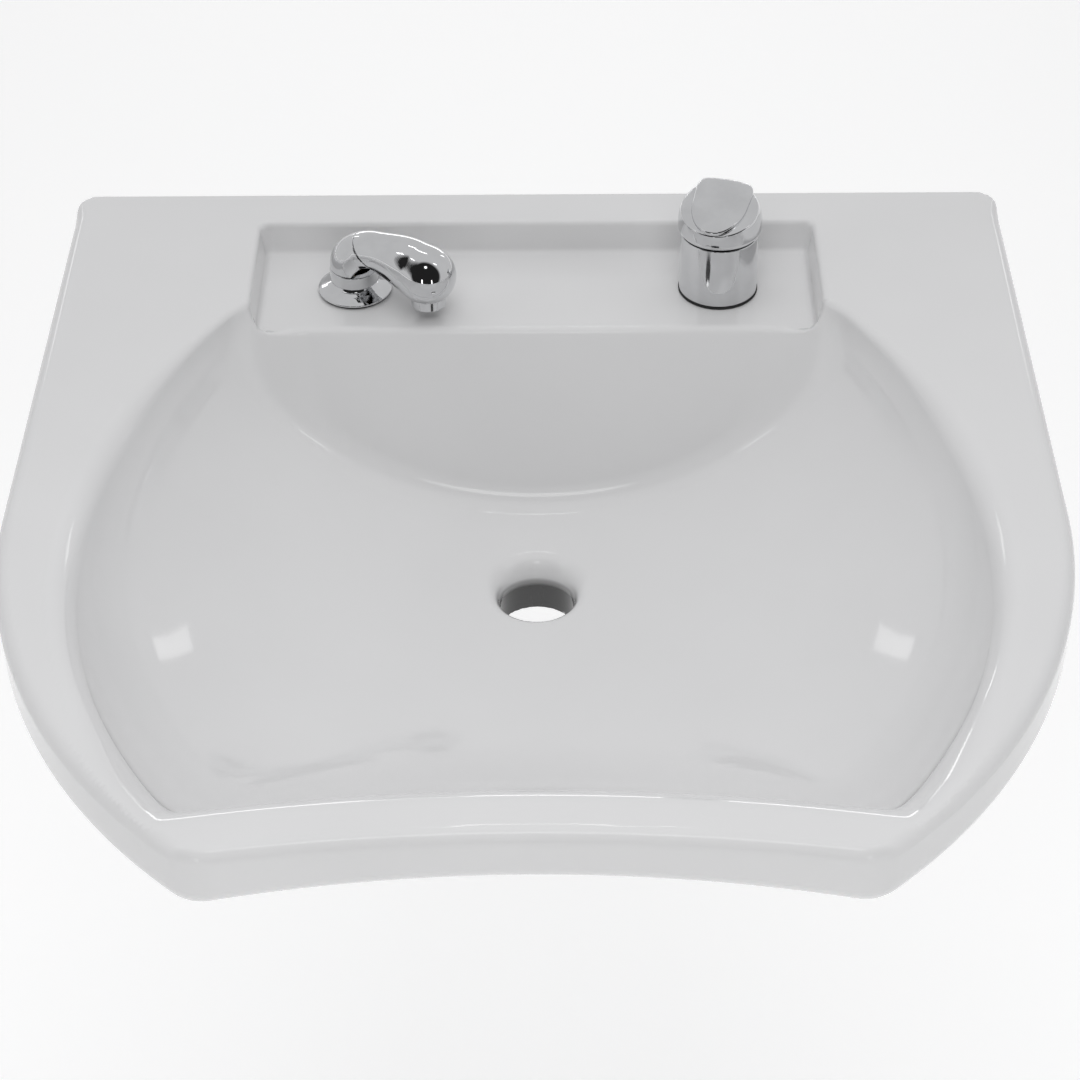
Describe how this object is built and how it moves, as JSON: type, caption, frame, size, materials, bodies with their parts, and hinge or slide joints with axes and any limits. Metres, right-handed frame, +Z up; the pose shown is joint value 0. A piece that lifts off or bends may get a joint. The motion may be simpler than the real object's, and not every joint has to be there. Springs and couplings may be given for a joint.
{
  "type": "salon wash basin",
  "caption": "Wall-hung salon wash basin with a hollow front edge, a tap recess, a lever mixer and a pull-out hand spray over a wide bowl.",
  "frame": {"origin": "on the wall face, midway between the two hanger holes", "axes": "+X to the right seen from the front, +Y into the wall, +Z up"},
  "size_m": [0.586, 0.5832, 0.1974],
  "materials": {
    "china": "high gloss white glaze",
    "chrome": "mirror chrome plate on brass",
    "brass": "machined",
    "steel": "zinc plated",
    "rubber": "matte black",
    "dark_plastic": "dark grey",
    "white_plastic": "off-white",
    "disc_ceramic": "polished"
  },
  "bodies": {
    "basin": {"basin": "china", "mixer_body": "chrome", "mixer_cover_ring": "chrome", "holder_flange": "chrome", "mixer_hot_tail": "brass", "mixer_cold_tail": "brass", "mixer_outlet_tail": "brass", "mixer_nut": "brass", "cartridge_nut": "brass", "holder_shank": "brass", "holder_nut": "brass", "mixer_stud": "steel", "mixer_clamp_plate": "steel", "mixer_gasket": "rubber", "mixer_clamp_washer": "rubber", "cartridge_hot_seal": "rubber", "cartridge_cold_seal": "rubber", "cartridge_outlet_seal": "rubber", "holder_gasket": "rubber", "holder_washer": "rubber", "cartridge_housing": "dark_plastic", "holder_guide": "white_plastic", "cartridge_fixed_disc": "disc_ceramic"},
    "turret": {"lever_carrier": "white_plastic", "lever_pin": "steel"},
    "lever": {"lever_stem": "steel", "lever_handle": "chrome", "lever_screw": "steel", "lever_mark": "dark_plastic"},
    "sliding_disc": {"cartridge_moving_disc": "disc_ceramic"},
    "hose_end": {"spray_tail": "brass", "spray_check_valve": "white_plastic", "spray_swivel_seal": "rubber"},
    "hand_spray": {"spray_collar": "chrome", "spray_neck": "chrome", "spray_head": "chrome", "spray_nozzle_ring": "chrome", "spray_plate": "dark_plastic"}
  },
  "joints": [
    {"name": "mixer_temperature", "type": "hinge", "parent": "basin", "child": "turret", "pos_m": [0.112, -0.077, 0.071], "axis": [0, 0, 1], "range_deg": [-28, 62]},
    {"name": "mixer_flow", "type": "hinge", "parent": "turret", "child": "lever", "pos_m": [0.112, -0.077, 0.071], "axis": [-0.9563, 0.2924, 0], "range_deg": [0, 16]},
    {"name": "disc_slide", "type": "slide", "parent": "turret", "child": "sliding_disc", "axis": [-0.2924, -0.9563, 0], "range_m": [0, 0.0019]},
    {"name": "spray_lift", "type": "slide", "parent": "basin", "child": "hose_end", "axis": [0, 0, 1], "range_m": [0, 0.5]},
    {"name": "spray_swivel", "type": "hinge", "parent": "hose_end", "child": "hand_spray", "pos_m": [-0.112, -0.077, 0.051], "axis": [0, 0, 1], "range_deg": [-100, 40]}
  ],
  "couplings": [
    {"joint": "disc_slide", "follows": "mixer_flow", "m_per_rad": 0.0063}
  ]
}
